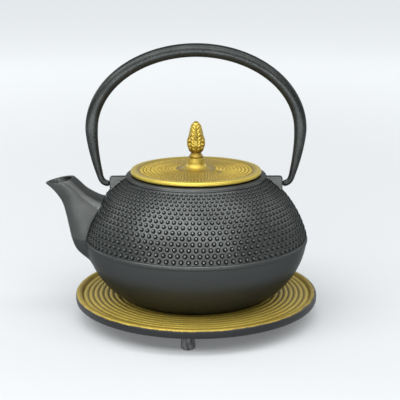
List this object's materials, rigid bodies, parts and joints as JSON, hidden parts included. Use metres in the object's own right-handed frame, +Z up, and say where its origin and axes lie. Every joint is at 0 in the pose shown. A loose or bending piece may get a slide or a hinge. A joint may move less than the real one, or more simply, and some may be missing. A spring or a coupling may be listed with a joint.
{
  "type": "teapot",
  "caption": "Squat round cast-iron teapot with a hobnail shoulder, side spout, swinging bail handle, flat lid with a pine-cone knob, lift-out infuser and a round ringed trivet.",
  "frame": {"origin": "on the table under the trivet, at the centre of the whole object's box; the pot's own axis is 10.3 mm along +X from it", "axes": "+Z up; the spout points to -X; the handle swings about X, so +Y and -Y are the two broad sides"},
  "size_m": [0.2006, 0.18, 0.201],
  "materials": {
    "black_iron": "satin",
    "handle_iron": "satin",
    "foot_iron": "rough cast",
    "gold_paint": "satin metallic paint",
    "knob_gold": "satin metallic paint",
    "stainless": "satin",
    "infuser_mesh": "fine wire mesh"
  },
  "bodies": {
    "trivet": {"trivet_plate": "gold_paint", "trivet_foot_1": "foot_iron", "trivet_foot_2": "foot_iron", "trivet_foot_3": "foot_iron"},
    "pot": {"pot_shell": "black_iron", "spout": "black_iron", "ear_left": "black_iron", "ear_right": "black_iron"},
    "handle": {"handle": "handle_iron"},
    "infuser": {"infuser_rim": "stainless", "infuser_wall": "infuser_mesh", "infuser_base": "stainless"},
    "lid": {"lid_plate": "gold_paint", "knob": "knob_gold", "knob_washer": "stainless", "knob_nut": "stainless"}
  },
  "joints": [
    {"name": "pot_lift", "type": "slide", "parent": "trivet", "child": "pot", "axis": [0, 0, 1], "range_m": [0, 0.12]},
    {"name": "handle_swing", "type": "hinge", "parent": "pot", "child": "handle", "pos_m": [0.0103, 0, 0.099], "axis": [1, 0, 0], "range_deg": [-113, 113]},
    {"name": "infuser_lift", "type": "slide", "parent": "pot", "child": "infuser", "axis": [0, 0, 1], "range_m": [0, 0.045]},
    {"name": "lid_lift", "type": "slide", "parent": "infuser", "child": "lid", "axis": [0, 0, 1], "range_m": [0, 0.045]}
  ]
}
